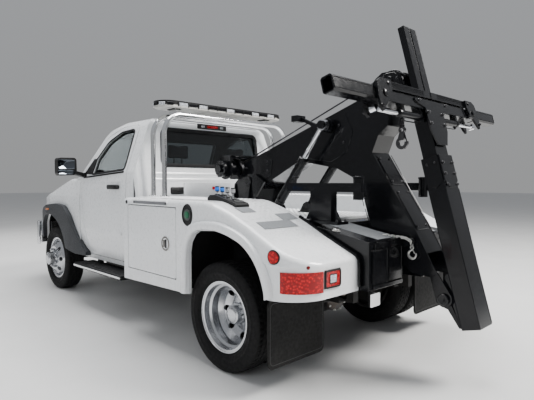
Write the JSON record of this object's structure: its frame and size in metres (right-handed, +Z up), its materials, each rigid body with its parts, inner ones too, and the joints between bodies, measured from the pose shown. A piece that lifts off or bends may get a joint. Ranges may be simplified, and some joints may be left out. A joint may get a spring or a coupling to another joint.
{
  "type": "tow truck",
  "caption": "Light-duty recovery truck with a two-door cab, side toolboxes, a lifting boom and a folding stinger with two swinging wheel-lift claws.",
  "frame": {"origin": "on the ground under the middle of the truck's bounding box", "axes": "+X to the truck's left, -Y towards its front, +Z up"},
  "size_m": [2.576, 6.092, 2.5498],
  "materials": {
    "white_paint": "gloss",
    "black_paint": "gloss",
    "chassis_black": "satin",
    "cast_grey": "matte",
    "glass": "gloss",
    "seat_cloth": "matte",
    "grey_plastic": "satin",
    "black_plastic": "satin",
    "chrome_trim": "polished",
    "polished_tube": "polished",
    "brushed": "brushed",
    "red_lens": "gloss",
    "rubber": "matte",
    "tyre": "matte"
  },
  "bodies": {
    "chassis": {"chassis_frame": "chassis_black", "front_axle": "chassis_black", "rear_axle": "chassis_black", "powertrain": "cast_grey", "cab_shell": "white_paint", "windscreen": "glass", "rear_window": "glass", "bench_seat": "seat_cloth", "dashboard": "grey_plastic", "front_wings": "white_paint", "grille_and_headlamps": "chrome_trim", "front_bumper": "chrome_trim", "wheel_flares": "grey_plastic", "running_boards": "black_plastic", "headache_rack": "polished_tube", "light_bar": "black_plastic", "recovery_body": "white_paint", "tail_lamps": "red_lens", "mud_flaps": "rubber", "valve_consoles": "brushed", "tail_frame": "black_paint", "boom_pedestal": "black_paint", "dolly_racks": "black_paint"},
    "knuckle_l": {"knuckle_left": "cast_grey"},
    "knuckle_r": {"knuckle_right": "cast_grey"},
    "wheel_fl": {"front_tyre_left": "tyre", "front_wheel_left": "chrome_trim"},
    "wheel_fr": {"front_tyre_right": "tyre", "front_wheel_right": "chrome_trim"},
    "wheels_rl": {"rear_tyres_left": "tyre", "rear_wheels_left": "chrome_trim"},
    "wheels_rr": {"rear_tyres_right": "tyre", "rear_wheels_right": "chrome_trim"},
    "door_l": {"door_left": "white_paint", "door_glass_left": "glass", "mirror_and_handle_left": "black_plastic"},
    "door_r": {"door_right": "white_paint", "door_glass_right": "glass", "mirror_and_handle_right": "black_plastic"},
    "hood": {"bonnet": "white_paint"},
    "locker_l": {"toolbox_door_left": "white_paint"},
    "locker_r": {"toolbox_door_right": "white_paint"},
    "boom_arm": {"boom": "black_paint", "winch": "black_paint", "winch_rope_and_hook": "brushed"},
    "cylinder_barrels": {"lift_cylinder_barrels": "black_paint"},
    "cylinder_rods": {"lift_cylinder_rods": "chrome_trim"},
    "stinger": {"stinger_tube": "black_paint"},
    "t_bar": {"crossbar": "black_paint"},
    "claw_l": {"claw_left": "black_paint"},
    "claw_r": {"claw_right": "black_paint"},
    "claw_rod_l": {"claw_rod_left": "chrome_trim"},
    "claw_rod_r": {"claw_rod_right": "chrome_trim"}
  },
  "joints": [
    {"name": "steer_left", "type": "hinge", "parent": "chassis", "child": "knuckle_l", "pos_m": [0.735, -2.08, 0.405], "axis": [0, 0, 1], "range_deg": [-32, 32]},
    {"name": "steer_right", "type": "hinge", "parent": "chassis", "child": "knuckle_r", "pos_m": [-0.735, -2.08, 0.405], "axis": [0, 0, 1], "range_deg": [-32, 32]},
    {"name": "roll_front_left", "type": "hinge", "parent": "knuckle_l", "child": "wheel_fl", "pos_m": [0.858, -2.08, 0.405], "axis": [1, 0, 0], "continuous": true},
    {"name": "roll_front_right", "type": "hinge", "parent": "knuckle_r", "child": "wheel_fr", "pos_m": [-0.858, -2.08, 0.405], "axis": [1, 0, 0], "continuous": true},
    {"name": "roll_rear_left", "type": "hinge", "parent": "chassis", "child": "wheels_rl", "pos_m": [0.903, 1.59, 0.405], "axis": [1, 0, 0], "continuous": true},
    {"name": "roll_rear_right", "type": "hinge", "parent": "chassis", "child": "wheels_rr", "pos_m": [-0.903, 1.59, 0.405], "axis": [1, 0, 0], "continuous": true},
    {"name": "door_left_hinge", "type": "hinge", "parent": "chassis", "child": "door_l", "pos_m": [1, -1.19, 1], "axis": [0, 0, -1], "range_deg": [0, 60]},
    {"name": "door_right_hinge", "type": "hinge", "parent": "chassis", "child": "door_r", "pos_m": [-1, -1.19, 1], "axis": [0, 0, 1], "range_deg": [0, 60]},
    {"name": "bonnet_hinge", "type": "hinge", "parent": "chassis", "child": "hood", "pos_m": [0, -1.4, 1.405], "axis": [-1, 0, 0], "range_deg": [0, 50]},
    {"name": "toolbox_left_hinge", "type": "hinge", "parent": "chassis", "child": "locker_l", "pos_m": [1.19, 0.327, 0.9], "axis": [0, 0, -1], "range_deg": [0, 100]},
    {"name": "toolbox_right_hinge", "type": "hinge", "parent": "chassis", "child": "locker_r", "pos_m": [-1.19, 0.327, 0.9], "axis": [0, 0, 1], "range_deg": [0, 100]},
    {"name": "boom_lift", "type": "hinge", "parent": "chassis", "child": "boom_arm", "pos_m": [0, 0.79, 1.4], "axis": [1, 0, 0], "range_deg": [-6, 22]},
    {"name": "lift_barrel_swing", "type": "hinge", "parent": "chassis", "child": "cylinder_barrels", "pos_m": [0, 1.26, 1.165], "axis": [1, 0, 0], "range_deg": [-6.12, 22.44]},
    {"name": "lift_rod_slide", "type": "slide", "parent": "cylinder_barrels", "child": "cylinder_rods", "axis": [0, 0.6064, 0.7952], "range_m": [-0.05471, 0.20062]},
    {"name": "stinger_fold", "type": "hinge", "parent": "boom_arm", "child": "stinger", "pos_m": [0, 2.785, 0.575], "axis": [-1, 0, 0], "range_deg": [0, 100]},
    {"name": "stinger_extend", "type": "slide", "parent": "stinger", "child": "t_bar", "axis": [0, -0.2588, 0.9659], "range_m": [0, 0.6]},
    {"name": "claw_left_swing", "type": "hinge", "parent": "t_bar", "child": "claw_l", "pos_m": [0.66, 2.57862, 1.93778], "axis": [0, 0.9659, 0.2588], "range_deg": [0, 90]},
    {"name": "claw_right_swing", "type": "hinge", "parent": "t_bar", "child": "claw_r", "pos_m": [-0.66, 2.57862, 1.93778], "axis": [0, -0.9659, -0.2588], "range_deg": [0, 90]},
    {"name": "claw_rod_left_slide", "type": "slide", "parent": "t_bar", "child": "claw_rod_l", "axis": [-1, 0, 0], "range_m": [0, 0.1571]},
    {"name": "claw_rod_right_slide", "type": "slide", "parent": "t_bar", "child": "claw_rod_r", "axis": [1, 0, 0], "range_m": [0, 0.1571]}
  ],
  "couplings": [
    {"joint": "steer_right", "follows": "steer_left", "ratio": 1},
    {"joint": "lift_barrel_swing", "follows": "boom_lift", "ratio": 1.02},
    {"joint": "lift_rod_slide", "follows": "boom_lift", "m_per_rad": 0.5225},
    {"joint": "claw_rod_left_slide", "follows": "claw_left_swing", "m_per_rad": 0.1},
    {"joint": "claw_rod_right_slide", "follows": "claw_right_swing", "m_per_rad": 0.1}
  ]
}
